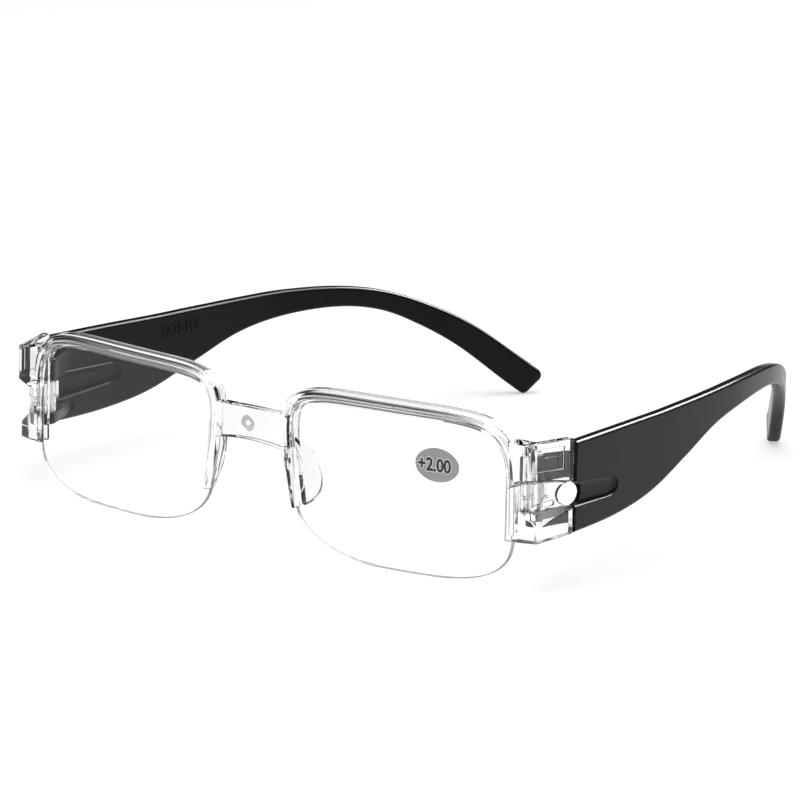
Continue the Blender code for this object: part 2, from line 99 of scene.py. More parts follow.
HOLE_HALF_LENGTH, HOLE_HALF_HEIGHT = 3.25 * MM, 2.6 * MM
HOLE_INNER_X, HOLE_OUTER_X = 66.9 * MM, 74 * MM

PIN = Vector((64.8 * MM, 7.6 * MM, 20.0 * MM))
PIN_AXIS = Vector((-0.034, -0.017, 1.0))
KNUCKLE_RADIUS, KNUCKLE_BEVEL = 2.0 * MM, 0.2 * MM
KNUCKLE_START, KNUCKLE_TURN = 0.85, 1.13  # in half turns about the pin
LUG_LOW, LUG_STEP, LUG_TOP = 16.2 * MM, 19.0 * MM, 22.8 * MM
LUG_ROOT_Y, LUG_FLANK, LUG_NOSE, LUG_NOSE_INSET, LUG_BEVEL = 4.0, 1.6, 2.2, 0.5, 0.14 * MM
LOWER_KNUCKLE, UPPER_KNUCKLE = (13.4 * MM, 15.9 * MM), (23.1 * MM, 27.9 * MM)
SCREW_RADIUS, SCREW_BORE = 0.7 * MM, 1.0 * MM
SCREW_HEAD_RADIUS, SCREW_HEAD_HEIGHT = 1.3 * MM, 0.7 * MM
SLOT_WIDTH, SLOT_DEPTH = 0.35 * MM, 0.3 * MM
THREAD_PITCH, THREAD_RISE, THREAD_DEPTH = 0.3 * MM, 0.12 * MM, 0.07 * MM
HEAD_FLANK, HEAD_CROWN = 0.4 * MM, 0.3 * MM

TEMPLE_LINE = [  # y, x, z, half height, half thickness
    (13.0, 69.70, 21.20, 9.70, 1.35),
    (29.0, 68.50, 21.15, 9.45, 1.35),
    (43.5, 67.20, 21.85, 8.45, 1.35),
    (58.0, 65.85, 23.95, 6.20, 1.35),
    (72.5, 64.15, 26.10, 3.90, 1.35),
    (87.0, 61.80, 26.95, 2.85, 1.35),
    (102.0, 57.80, 26.45, 2.30, 1.40),
    (113.5, 53.60, 24.30, 2.25, 1.40),
    (123.0, 48.80, 20.20, 2.60, 1.45),
    (132.0, 43.10, 14.50, 3.05, 1.50),
    (141.4, 36.40, 6.00, 3.35, 1.50),
    (144.6, 33.90, 3.07, 3.35, 1.50),
]
TEMPLE_STEPS = 14
TEMPLE_CORNER, ARM_BEVEL, TEMPLE_BEVEL = 0.75 * MM, 0.2 * MM, 0.17 * MM
TIP_LENGTH, TIP_SLANT, TIP_STEPS = 1.9 * MM, 0.2, 14
WEB_PLAN = [(63.6, 10.4), (66.8, 17.6), (69.6, 18.0), (69.8, 13.5), (68.8, 13.1), (68.05, 12.45), (66.7, 7.8)]
# Hollows in the temple's faces: start, end, half heights, depths, and the length of the rounded end.
OUTER_SCOOP = (71.25, 10.0, 20.0), (70.05, 26.5, 18.7), (2.85, 2.2), (0.95, 0.6), 3.9
INNER_SCOOP = (68.6, 10.0, 18.5), (66.95, 31.0, 19.1), (2.9, 1.9), (1.05, 0.8), 5.0
INNER_GROOVE = (68.6, 10.0, 22.9), (66.8, 33.0, 22.2), (0.6, 0.3), (0.45, 0.3), 0.6
MARK_Y, MARK_Z, MARK_RADIUS, MARK_DEPTH = 19.0, 14.6, 1.7, 0.18

LABEL_X, LABEL_Z = 45.5 * MM, 24.2 * MM
LABEL_HALF_WIDTH, LABEL_HALF_HEIGHT, LABEL_THICKNESS = 5.05 * MM, 3.6 * MM, 0.15 * MM
FIGURE_SIZE, PRINT_THICKNESS = 3.9 * MM, 0.02 * MM
SIZE_Y, SIZE_Z, SIZE_HEIGHT, SIZE_SPREAD, SIZE_SQUEEZE = 53.5, 26.4, 0.3 * MM, 0.06 * MM, 0.72
STRENGTH_SHIFT, STRENGTH_SQUEEZE = 0.6 * MM, 0.86

LENS_CHAMFER = 0.2 * MM
LENS_LAYERS = [(-LENS_CHAMFER, 0), (0, LENS_CHAMFER), (0, LENS_THICKNESS - LENS_CHAMFER),
               (-LENS_CHAMFER, LENS_THICKNESS)]


# ---------------------------------------------------------------- mesh helpers
def to_object(name, bm):
    bmesh.ops.remove_doubles(bm, verts=bm.verts, dist=1e-6)
    bmesh.ops.recalc_face_normals(bm, faces=bm.faces)
    mesh = bpy.data.meshes.new(name)
    bm.to_mesh(mesh)
    bm.free()
    obj = bpy.data.objects.new(name, mesh)
    bpy.context.scene.collection.objects.link(obj)
    return obj


def round_edges(bm, width, segments=3, least=math.radians(28)):
    bmesh.ops.remove_doubles(bm, verts=bm.verts, dist=1e-6)
    bmesh.ops.recalc_face_normals(bm, faces=bm.faces)
    sharp = [e for e in bm.edges if len(e.link_faces) == 2 and e.calc_face_angle(0) > least]
    bmesh.ops.bevel(bm, geom=sharp, offset=width, segments=segments, profile=0.5,
                    affect="EDGES", clamp_overlap=True, loop_slide=True)


def loft(name, rings, bevel=0.0, segments=3, least=math.radians(28)):
    bm = bmesh.new()
    loops = [[bm.verts.new(point) for point in ring] for ring in rings]
    for near, far in zip(loops, loops[1:]):
        for i in range(len(near)):
            j = (i + 1) % len(near)
            bm.faces.new((near[i], near[j], far[j], far[i]))
    bm.faces.new(reversed(loops[0]))
    bm.faces.new(loops[-1])
    if bevel:
        round_edges(bm, bevel, segments, least)
    return to_object(name, bm)


def upright(name, plan, low, high, side=1, bevel=0.0, segments=3):
    def ring(height):
        level = height if callable(height) else lambda x, y: height
        return [(side * x * MM, y * MM, level(x * MM, y * MM)) for x, y in plan]

    return loft(name, [ring(low), ring(high)], bevel, segments)


def around_pin(name, side, levels, segments=48):
    across = Vector((1, 0, -PIN_AXIS.x)).normalized()
    along = PIN_AXIS.normalized().cross(across)
    rings = []
    for z, radius in levels:
        centre = PIN + PIN_AXIS * (z - PIN.z)
        ring = []
        for i in range(segments):
            a = 2 * math.pi * i / segments
            at = centre + radius * (across * math.cos(a) + along * math.sin(a))
            ring.append((side * at.x, at.y, at.z))
        rings.append(ring)
    return loft(name, rings)


def combine(target, tools, operation):
    """Applies each tool to the target for good and removes it."""
    for tool in tools:
        change = target.modifiers.new(tool.name, "BOOLEAN")
        change.operation, change.solver, change.object = operation, "EXACT", tool
    bake_modifiers(target)
    for tool in tools:
        bpy.data.objects.remove(tool)


def bake_modifiers(obj):
    graph = bpy.context.evaluated_depsgraph_get()
    mesh = bpy.data.meshes.new_from_object(obj.evaluated_get(graph))
    obj.modifiers.clear()
    obj.data = mesh


def finish_piece(obj, name, body, nodes=(), angle=35, bevel=0.0):
    """Sets a finished mesh in its place, shades it and ties it to its body."""
    obj.name = obj.data.name = name
    obj.data.transform(Matrix.Translation((0, -MIDDLE_Y, 0)))
    if bevel:
        edge = obj.modifiers.new("edge", "BEVEL")
        edge.width, edge.segments, edge.limit_method = bevel, 2, "ANGLE"
        edge.angle_limit, edge.harden_normals = math.radians(40), False
        bake_modifiers(obj)
    obj.data.shade_smooth()
    obj.data.set_sharp_from_angle(angle=math.radians(angle))
    even = obj.modifiers.new("even_shading", "WEIGHTED_NORMAL")
    even.keep_sharp, even.weight = True, 60
    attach(obj, body)
    if nodes:
        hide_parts(*nodes)
    return obj


def plane_height(corners):
    a, b, c = (Vector(corner) * MM for corner in corners)
    normal = (b - a).cross(c - a)
    return lambda x, y: a.z - (normal.x * (x - a.x) + normal.y * (y - a.y)) / normal.z


def round_corners(section, steps=5):
    """A closed outline with each (u, v, radius) corner rounded by an arc."""
    rounded = []
    points = [Vector(row[:2]) for row in section]
    for i, (u, v, radius) in enumerate(section):
        here = points[i]
        to_last = (points[i - 1] - here)
        to_next = (points[(i + 1) % len(points)] - here)
        half = to_last.angle(to_next) / 2
        reach = min(radius / math.tan(half), 0.45 * to_last.length, 0.45 * to_next.length)
        start, end = here + to_last.normalized() * reach, here + to_next.normalized() * reach
        for k in range(steps + 1):
            t = k / steps
            rounded.append(start.lerp(here, t).lerp(here.lerp(end, t), t))
    return rounded


def spline(values, t):
    k = min(int(t), len(values) - 2)
    u = t - k
    rows = (values[max(0, min(len(values) - 1, k + i))] for i in (-1, 0, 1, 2))
    mixed = []
    for a, b, c, d in zip(*rows):
        mixed.append(0.5 * (2 * b + (c - a) * u + (2 * a - 5 * b + 4 * c - d) * u * u
                            + (3 * b - a - 3 * c + d) * u ** 3))
    return mixed


# ---------------------------------------------------------------- lens outline
def face_y(x, z):
    return FACE_Y + FACE_SLOPE * abs(x) + FACE_BOW * x * x - FACE_LEAN * z


def lens_edge(angle):
    c, s = math.cos(angle), math.sin(angle)
    if s >= 0:
        power = TOP_TEMPORAL if c >= 0 else TOP_NASAL
        reach_z = LENS_TOP - LENS_MID_Z
    else:
        power = LOW_TEMPORAL if c >= 0 else LOW_NASAL
        reach_z = LENS_MID_Z
    z = LENS_MID_Z + reach_z * math.copysign(abs(s) ** (2 / power), s)
    reach_x = LENS_HALF_WIDTH
    if c < 0:
        reach_x += NASAL_SPREAD * max(z - LENS_MID_Z, 0)
    return LENS_MID_X + reach_x * math.copysign(abs(c) ** (2 / power), c), z


def angle_below(z, power):
    return math.asin(((LENS_MID_Z - z) / LENS_MID_Z) ** (power / 2))


def even_outline(start, end, count, closed=False):
    fine = [Vector(lens_edge(start + (end - start) * i / 4000)) for i in range(4001)]
    lengths = [0.0]
    for a, b in zip(fine, fine[1:]):
        lengths.append(lengths[-1] + (b - a).length)
    spans = count if closed else count - 1
    found, i = [], 0
    for k in range(count):
        goal = lengths[-1] * k / spans
        while i < len(fine) - 2 and lengths[i + 1] < goal:
            i += 1
        share = (goal - lengths[i]) / (lengths[i + 1] - lengths[i])
        along = (fine[i + 1] - fine[i]).normalized()
        found.append((fine[i].lerp(fine[i + 1], share), Vector((along.y, -along.x))))
    return found


def lens_solid(name, side, layers):
    """A lens-shaped slab; each layer is (outward shift, depth behind the front surface)."""
    outline = even_outline(0, 2 * math.pi, OUTLINE_POINTS, closed=True)
    bm = bmesh.new()
    rings = []
    for shift, depth in layers:
        edge = [point + shift * out for point, out in outline]
        rings.append([bm.verts.new((side * p.x, face_y(p.x, p.y) + depth, p.y)) for p in edge])
    half = OUTLINE_POINTS // 2
    for ring in (rings[0], rings[-1]):
        for i in range(half):
            low, low_next = -i % OUTLINE_POINTS, (-i - 1) % OUTLINE_POINTS
            bm.faces.new(list(dict.fromkeys([ring[i], ring[i + 1], ring[low_next], ring[low]])))
    for near, far in zip(rings, rings[1:]):
        for i in range(OUTLINE_POINTS):
            j = (i + 1) % OUTLINE_POINTS
            bm.faces.new((near[i], near[j], far[j], far[i]))
    return to_object(name, bm)


# ---------------------------------------------------------------- clear front
def half_rim(name, side):
    start = -angle_below(RIM_TEMPORAL_END_Z, LOW_TEMPORAL)
    end = math.pi + angle_below(RIM_NASAL_END_Z, LOW_NASAL)
    section = round_corners(RIM_SECTION)
    rings = []
    for point, out in even_outline(start, end, RIM_POINTS):
        width = 1.0
        if point.x < LENS_MID_X - LENS_HALF_WIDTH / 2 and point.y < LEG_NARROW_Z:
            share = (LEG_NARROW_Z - point.y) / (LEG_NARROW_Z - RIM_NASAL_END_Z)
            width += (LEG_END_WIDTH - 1.0) * share
        ring = []
        for outward, back in section:
            at = point + (outward * MM * width - RIM_OVERLAP) * out
            ring.append((side * at.x, face_y(at.x, at.y) + back * MM, at.y))
        rings.append(ring)
    return loft(name, rings, RIM_BEVEL, 3, math.radians(60))


def half_bridge(name):
    rings = []
    for step in range(BRIDGE_STEPS + 1):
        x = BRIDGE_HALF * step / BRIDGE_STEPS
        low = BRIDGE_LOW + BRIDGE_ARCH * (1 - (x / BRIDGE_HALF) ** 2)
        corners = [(BRIDGE_FRONT, low), (BRIDGE_FRONT, BRIDGE_TOP), (BRIDGE_BACK, BRIDGE_TOP),
                   (BRIDGE_BACK, low)]
        outline = round_corners([(y / MM, z / MM, BRIDGE_CORNER) for y, z in corners])
        rings.append([(x, y * MM, z * MM) for y, z in outline])
    return loft(name, rings)


def gate_cutter(name, segments=64):
    """The round gate mark on the bridge: a ring let in round a low middle."""
    rings = []
    steps = ((-1 * MM, 1.0), (GATE_DEPTH, 1.0), (GATE_DEPTH, GATE_RING_INNER),
             (GATE_MIDDLE_DEPTH, GATE_MIDDLE))
    for depth, radius in steps:
        turns = [2 * math.pi * i / segments for i in range(segments)]
        rings.append([(radius * GATE_RADIUS * math.cos(a), BRIDGE_FRONT + depth,
                       GATE_Z + radius * GATE_RADIUS * math.sin(a)) for a in turns])
    return loft(name, rings)


def nose_pad(name, side):
    back = Vector((math.sin(PAD_FLARE), math.cos(PAD_FLARE)))
    across = Vector((back.y, -back.x))
    count = (len(PAD_OUTLINE) - 1) * PAD_STEPS
    outline = [spline(PAD_OUTLINE, i / PAD_STEPS) for i in range(count + 1)]
    rings = []
    for shift in (0.0, PAD_THICKNESS):
        ring = []
        for depth, height in outline:
            at = PAD_ROOT + depth * MM * back + shift * across
            splay = PAD_SPLAY * max(LEG_NARROW_Z - height * MM, 0)
            ring.append((side * (at.x + splay), at.y, height * MM))
        rings.append(ring)
    return loft(name, rings, PAD_BEVEL, 4, math.radians(60))


def outer_wall_frame():
    corner = Vector(UPPER_PLAN[2]) * MM
    back = (Vector(UPPER_PLAN[3]) * MM - corner).normalized()
    return corner, back, Vector((back.y, -back.x))


def wall_cutter(name, side, span_y, span_z, depth, bevel):
    """A block let into the end piece's outer wall, placed along the wall."""
    corner, back, out = outer_wall_frame()
    rings = []
    for reach in (-depth, CUT_PAST):
        ring = []
        for y, z in zip(span_y + span_y[::-1], (span_z[0],) * 2 + (span_z[1],) * 2):
            at = corner + back * y * MM + out * reach * MM
            ring.append((side * at.x, at.y, z * MM))
        rings.append(ring)
    return loft(name, rings, bevel)


def waist_slot(name):
    """The narrow slot along the waist's outer wall, rising towards the temple."""
    near, far = (Vector(WAIST_PLAN[k]) * MM for k in (2, 3))
    back = (far - near).normalized()
    out = Vector((back.y, -back.x))
    outline = round_corners(WAIST_SLOT, 6)
    rings = []
    for reach in (-WAIST_SLOT_DEPTH, CUT_PAST):
        ring = []
        for y, z in outline:
            at = near + back * y * MM + out * reach * MM
            ring.append((at.x, at.y, z * MM))
        rings.append(ring)
    return loft(name, rings)


def side_hole(name, side):
    rings = []
    for x in (HOLE_INNER_X, HOLE_OUTER_X):
        turns = [2 * math.pi * i / 72 for i in range(72)]
        rings.append([(side * x, HOLE_Y + HOLE_HALF_LENGTH * math.cos(a),
                       HOLE_Z + HOLE_HALF_HEIGHT * math.sin(a)) for a in turns])
    return loft(name, rings)


def lug_parts(word, side):
    x, r, reach = PIN.x / MM, KNUCKLE_RADIUS / MM, PIN.y / MM
    root = [(x - r, LUG_ROOT_Y), (x + r, LUG_ROOT_Y)]
    square = root + [(x + r, reach + LUG_FLANK), (x + r - LUG_NOSE_INSET, reach + LUG_NOSE),
                     (x - r + LUG_NOSE_INSET, reach + LUG_NOSE), (x - r, reach + LUG_FLANK)]
    turns = [math.pi * i / 30 for i in range(31)]
    round_end = root + [(x + r * math.cos(a), reach + r * math.sin(a)) for a in turns]
    return [upright(word + "_lug", square, LUG_STEP, LUG_TOP, side, LUG_BEVEL),
            upright(word + "_lug_low", round_end, LUG_LOW, LUG_STEP + 0.1 * MM, side, LUG_BEVEL)]


def screw_bore(name, side):
    low, high = LOWER_KNUCKLE[0] - CUT_PAST * MM, UPPER_KNUCKLE[1] + CUT_PAST * MM
    return around_pin(name, side, [(low, SCREW_BORE), (high, SCREW_BORE)])


def foot_low(_, y):
    return END_LOW + FOOT_RISE * max(y - FOOT_PLAN[2][1] * MM, 0)


def mirror_whole(obj):
    """Joins a half that ends in a flat face at x = 0 to its mirror image."""
    bm = bmesh.new()
    bm.from_mesh(obj.data)
    middle = [face for face in bm.faces if all(abs(vert.co.x) < 1e-6 for vert in face.verts)]
    bmesh.ops.delete(bm, geom=middle, context="FACES_ONLY")
    bmesh.ops.mirror(bm, geom=bm.verts[:] + bm.edges[:] + bm.faces[:], axis="X", merge_dist=2e-6)
    bmesh.ops.delete(bm, geom=[edge for edge in bm.edges if not edge.link_faces], context="EDGES")
    bmesh.ops.holes_fill(bm, edges=[edge for edge in bm.edges if edge.is_boundary], sides=6)
    bmesh.ops.recalc_face_normals(bm, faces=bm.faces)
    bm.to_mesh(obj.data)
    bm.free()


def clear_front():
    body = half_bridge("front")
    lens_room = [(GAP, -GAP), (GAP, LENS_THICKNESS + GAP)]
    solids = [
        half_rim("rim", 1),
        nose_pad("pad", 1),
        upright("waist", WAIST_PLAN, lambda x, y: foot_low(x, y) + WAIST_RAISE, END_TOP - WAIST_DROP, 1,
                WAIST_BEVEL),
        upright("upper", UPPER_PLAN, plane_height(UPPER_FLANK), END_TOP, 1, END_BEVEL),
        upright("foot", FOOT_PLAN, foot_low, plane_height(FOOT_FLANK), 1, END_BEVEL),
        *lug_parts("end", 1),
    ]
    tools = [
        gate_cutter("gate"),
        lens_solid("lens_room", 1, lens_room),
        wall_cutter("panel", 1, PANEL_Y, PANEL_Z, PANEL_DEPTH, PANEL_BEVEL),
        side_hole("frame_hole", 1),
        screw_bore("bore", 1),
        waist_slot("slot"),
    ]
    combine(body, solids, "UNION")
    combine(body, tools, "DIFFERENCE")
    mirror_whole(body)
    return body


# ---------------------------------------------------------------- temples
def arm_section(centre, along, side, above, below, half_thick, slant=0.0):
    up = (Vector((0, 0, 1)) - along * along.z).normalized()
    across = along.cross(up)
    corner = min(TEMPLE_CORNER, half_thick * 0.9)
    ring = []
    for quarter in range(4):
        sx = 1 if quarter in (0, 3) else -1
        middle = above - corner if quarter in (0, 1) else corner - below
        for step in range(9):
            angle = math.pi / 2 * (quarter + step / 8)
            dx = sx * (half_thick - corner) + corner * math.cos(angle)
            dz = middle + corner * math.sin(angle)
            at = centre + across * dx + (up + along * slant) * dz
            ring.append((side * at.x, at.y, at.z))
    return ring


def arm(name, side):
    count = (len(TEMPLE_LINE) - 1) * TEMPLE_STEPS
    rows = [spline(TEMPLE_LINE, i / TEMPLE_STEPS) for i in range(count + 1)]
    centres = [Vector((x, y, z)) * MM for y, x, z, _, _ in rows]
    rings = []
    for i, (centre, row) in enumerate(zip(centres, rows)):
        along = (centres[min(i + 1, count)] - centres[max(i - 1, 0)]).normalized()
        if i == 0:
            along = Vector((0, 1, 0))
        rings.append(arm_section(centre, along, side, row[3] * MM, row[3] * MM, row[4] * MM))
    tip = (centres[-1] - centres[-2]).normalized()
    half_height, half_thick = rows[-1][3] * MM, rows[-1][4] * MM
    for k in range(1, TIP_STEPS + 1):
        share = math.sin(math.pi / 2 * k / (TIP_STEPS + 0.25))
        shrink = math.sqrt(1 - share * share)
        lost = TIP_LENGTH * (1 - shrink)
        thick = half_thick * (0.15 + 0.85 * shrink)
        rings.append(arm_section(centres[-1] + tip * TIP_LENGTH * share, tip, side, half_height - lost,
                                 half_height - 0.45 * lost, thick, TIP_SLANT * share))
    return loft(name, rings, ARM_BEVEL, 3, math.radians(60))


def scoop(name, side, start, end, heights, depths, run_out, segments=64):
    """A tapered hollow with a rounded end; start and end lie on the face it is let into."""
    start, end = Vector(start) * MM, Vector(end) * MM
    along = (end - start).normalized()
    up = (Vector((0, 0, 1)) - along * along.z).normalized()
    across = along.cross(up)
    stops = [(start.lerp(end, k / 8), k / 8, 1.0) for k in range(9)]
    for k in range(1, 15):
        angle = math.pi / 2 * k / 14.6
        stops.append((end + along * run_out * MM * math.sin(angle), 1.0, math.cos(angle)))
    rings = []
    for centre, share, shrink in stops:
        high = (heights[0] + (heights[1] - heights[0]) * share) * shrink * MM
        deep = (depths[0] + (depths[1] - depths[0]) * share) * shrink * MM
        ring = []
        for i in range(segments):
            a = 2 * math.pi * i / segments
            at = centre + across * deep * math.cos(a) + up * high * math.sin(a)
            ring.append((side * at.x, at.y, at.z))
        rings.append(ring)
    return loft(name, rings)


def inner_face_x(y):
    """How far from the middle a temple's inner face lies at a station, in millimetres."""
    count = (len(TEMPLE_LINE) - 1) * TEMPLE_STEPS
    rows = [spline(TEMPLE_LINE, i / TEMPLE_STEPS) for i in range(count + 1)]
    near = max(row for row in rows if row[0] <= y + 1e-6)
    far = min((row for row in rows if row[0] > near[0]), default=near)
    share = (y - near[0]) / max(far[0] - near[0], 1e-6)
    x, half = (near[k] + (far[k] - near[k]) * share for k in (1, 4))
    return x - half


def ejector_ring(word, side):
    """The shallow round mark that a mould pin leaves on the inner face."""
    x = inner_face_x(MARK_Y)
    rings = []
    for reach in (x - 1.0, x + MARK_DEPTH):
        turns = [2 * math.pi * i / 48 for i in range(48)]
        rings.append([(side * reach * MM, (MARK_Y + MARK_RADIUS * math.cos(a)) * MM,
                       (MARK_Z + MARK_RADIUS * math.sin(a)) * MM) for a in turns])
    return loft(word + "_mark", rings)


def knuckle(name, side, levels):
    x, r, y = PIN.x / MM, KNUCKLE_RADIUS / MM, PIN.y / MM
    turns = [math.pi * (KNUCKLE_START + KNUCKLE_TURN * i / 28) for i in range(29)]
    plan = [(x + r * math.cos(a), y + r * math.sin(a)) for a in turns] + WEB_PLAN[::-1]
    return upright(name, plan, levels[0], levels[1], side, KNUCKLE_BEVEL)


def temple(word, side):
    body = arm(word + "_arm", side)
    cutters = [
        side_hole(word + "_hole", side),
        scoop(word + "_outer", side, *OUTER_SCOOP),
        scoop(word + "_inner", side, *INNER_SCOOP),
        scoop(word + "_groove", side, *INNER_GROOVE),
        ejector_ring(word, side),
    ]
    combine(body, cutters, "DIFFERENCE")
    knuckles = [knuckle(word + "_lower", side, LOWER_KNUCKLE), knuckle(word + "_upper", side, UPPER_KNUCKLE)]
    combine(body, knuckles, "UNION")
    combine(body, [screw_bore(word + "_knuckle_bore", side)], "DIFFERENCE")
    return body


def hinge_screw(word, side):
    head, top = UPPER_KNUCKLE[1] + GAP, UPPER_KNUCKLE[1] + GAP + SCREW_HEAD_HEIGHT
    levels = [(LOWER_KNUCKLE[0], SCREW_RADIUS * 0.7), (LOWER_KNUCKLE[0] + 0.3 * MM, SCREW_RADIUS)]
    z = levels[-1][0] + 0.1 * MM
    while z < LOWER_KNUCKLE[1] + 2 * MM:  # the thread at the lower end
        levels += [(z, SCREW_RADIUS), (z + THREAD_RISE, SCREW_RADIUS - THREAD_DEPTH),
                   (z + 2 * THREAD_RISE, SCREW_RADIUS)]
        z += THREAD_PITCH
    levels += [(head, SCREW_RADIUS), (head + 0.02 * MM, SCREW_HEAD_RADIUS - 0.06 * MM),
               (head + 0.08 * MM, SCREW_HEAD_RADIUS), (head + HEAD_FLANK, SCREW_HEAD_RADIUS)]
    for k in range(1, 6):
        a = math.pi / 2 * k / 6
        levels.append((head + HEAD_FLANK + HEAD_CROWN * math.sin(a),
                       SCREW_HEAD_RADIUS * (0.45 + 0.55 * math.cos(a))))
    body = around_pin(word + "_screw", side, levels)
    half, reach = SLOT_WIDTH / 2 / MM, CUT_PAST
    centre = PIN + PIN_AXIS * (top - PIN.z)
    x, y = centre.x / MM, centre.y / MM
    plan = [(x - reach, y - half), (x + reach, y - half), (x + reach, y + half), (x - reach, y + half)]
    combine(body, [upright(word + "_slot", plan, top - SLOT_DEPTH, top + 1 * MM, side)], "DIFFERENCE")
    return body


# ---------------------------------------------------------------- label and figures
def film(name, half_width, half_height, near, far, segments=96):
    """An oval of film that follows the lens, from one distance in front of it to another."""
    bm = bmesh.new()
    layers = []
    for depth in (far, near):
        ring = []
        for i in range(segments):
            a = 2 * math.pi * i / segments
            x, z = LABEL_X + half_width * math.cos(a), LABEL_Z + half_height * math.sin(a)
            ring.append(bm.verts.new((x, face_y(x, z) - depth, z)))
        layers.append(ring)
        for i in range(segments // 2):
            corners = [ring[i], ring[i + 1], ring[(-i - 1) % segments], ring[-i % segments]]
            bm.faces.new(list(dict.fromkeys(corners)))
    for i in range(segments):
        j = (i + 1) % segments
        bm.faces.new((layers[0][i], layers[0][j], layers[1][j], layers[1][i]))
    return to_object(name, bm)


def figures(name, text, size, thickness, spread=0.0, squeeze=1.0):
    """A mesh of figures lying in X and Y, centred, that stands thickness high."""
    curve = bpy.data.curves.new(name, "FONT")
    curve.body, curve.size, curve.extrude = text, size, thickness / 2
    curve.align_x, curve.align_y, curve.offset = "CENTER", "CENTER", spread
    curve.resolution_u = 6
    shown = bpy.data.objects.new(name, curve)
    bpy.context.scene.collection.objects.link(shown)
    graph = bpy.context.evaluated_depsgraph_get()
    mesh = bpy.data.meshes.new_from_object(shown.evaluated_get(graph))
    bpy.data.objects.remove(shown)
    bpy.data.curves.remove(curve)
    bm = bmesh.new()
    bm.from_mesh(mesh)
    bpy.data.meshes.remove(mesh)
    bmesh.ops.remove_doubles(bm, verts=bm.verts, dist=1e-7)
    low = Vector((min(v.co.x for v in bm.verts), min(v.co.y for v in bm.verts), 0))
    high = Vector((max(v.co.x for v in bm.verts), max(v.co.y for v in bm.verts), 0))
    for vert in bm.verts:
        vert.co -= (low + high) / 2
        vert.co.x *= squeeze
    return bm


def size_figures(name):
    """The raised size figures on the inner face of the temple at the wearer's right."""
    bm = figures(name, "52-22-143", FIGURE_SIZE, SIZE_HEIGHT, SIZE_SPREAD, SIZE_SQUEEZE)
    for vert in bm.verts:
        y, z = SIZE_Y + vert.co.x / MM, SIZE_Z + vert.co.y / MM
        vert.co = Vector((vert.co.z - inner_face_x(y) * MM, y * MM, z * MM))
    return to_object(name, bm)


def strength_figures(name, spread, near, thickness):
    bm = figures(name, "+2.00", FIGURE_SIZE, thickness, spread, STRENGTH_SQUEEZE)
    for vert in bm.verts:
        x, z = LABEL_X + vert.co.x - STRENGTH_SHIFT, LABEL_Z + vert.co.y
        vert.co = Vector((x, face_y(x, z) - near - thickness / 2 - vert.co.z, z))
    return to_object(name, bm)


# ---------------------------------------------------------------- materials
def shader_of(name):
    made = bpy.data.materials.new(name)
    made.use_nodes = True
    nodes, links = made.node_tree.nodes, made.node_tree.links
    return made, nodes, links, nodes["Principled BSDF"]


def noise(nodes, links, scale, detail=4.0):
    where = nodes.new("ShaderNodeTexCoord")
    texture = nodes.new("ShaderNodeTexNoise")
    texture.inputs["Scale"].default_value = scale
    texture.inputs["Detail"].default_value = detail
    links.new(where.outputs["Object"], texture.inputs["Vector"])
    return texture.outputs["Fac"]


def mapped(nodes, links, value, low, high):
    ramp = nodes.new("ShaderNodeMapRange")
    ramp.inputs["From Min"].default_value, ramp.inputs["From Max"].default_value = 0.3, 0.7
    ramp.inputs["To Min"].default_value, ramp.inputs["To Max"].default_value = low, high
    links.new(value, ramp.inputs["Value"])
    return ramp.outputs["Result"]


def bumped(nodes, links, shader, height, strength, distance):
    bump = nodes.new("ShaderNodeBump")
    bump.inputs["Strength"].default_value, bump.inputs["Distance"].default_value = strength, distance
    links.new(height, bump.inputs["Height"])
    links.new(bump.outputs["Normal"], shader.inputs["Normal"])


def clear_plastic(name, tint, rough, ior=1.58, shade=0.9):
    made, nodes, links, shader = shader_of(name)
    shader.inputs["Base Color"].default_value = (*tint, 1)
    shader.inputs["Transmission Weight"].default_value = 1.0
    shader.inputs["IOR"].default_value = ior
    links.new(mapped(nodes, links, noise(nodes, links, 900, 5), *rough), shader.inputs["Roughness"])
    # Lamps shine through it, so that it throws only a faint shadow.
    path, through, mix = (nodes.new(kind) for kind in ("ShaderNodeLightPath", "ShaderNodeBsdfTransparent",
                                                       "ShaderNodeMixShader"))
    through.inputs["Color"].default_value = (shade, shade, shade, 1)
    links.new(path.outputs["Is Shadow Ray"], mix.inputs[0])
    links.new(shader.outputs[0], mix.inputs[1])
    links.new(through.outputs[0], mix.inputs[2])
    links.new(mix.outputs[0], nodes["Material Output"].inputs["Surface"])
    return made


def black_plastic():
    made, nodes, links, shader = shader_of("satin_black_plastic")
    shader.inputs["IOR"].default_value = 1.45
    shader.inputs["Specular IOR Level"].default_value = 0.14
    broad = noise(nodes, links, 120, 3)
    fine = noise(nodes, links, 5200, 3)
    blend = nodes.new("ShaderNodeMix")
    blend.data_type = "RGBA"
    blend.inputs["A"].default_value = (0.003, 0.003, 0.0032, 1)
    blend.inputs["B"].default_value = (0.005, 0.005, 0.0053, 1)
    links.new(broad, blend.inputs["Factor"])
    links.new(blend.outputs["Result"], shader.inputs["Base Color"])
    links.new(mapped(nodes, links, fine, 0.2, 0.28), shader.inputs["Roughness"])
    bumped(nodes, links, shader, fine, 0.12, 0.00002)
    return made


def steel():
    made, nodes, links, shader = shader_of("turned_steel")
    shader.inputs["Metallic"].default_value = 1.0
    shader.inputs["Base Color"].default_value = (0.62, 0.61, 0.6, 1)
    fine = noise(nodes, links, 6000, 3)
    links.new(mapped(nodes, links, fine, 0.2, 0.34), shader.inputs["Roughness"])
    bumped(nodes, links, shader, fine, 0.15, 0.00001)
    return made


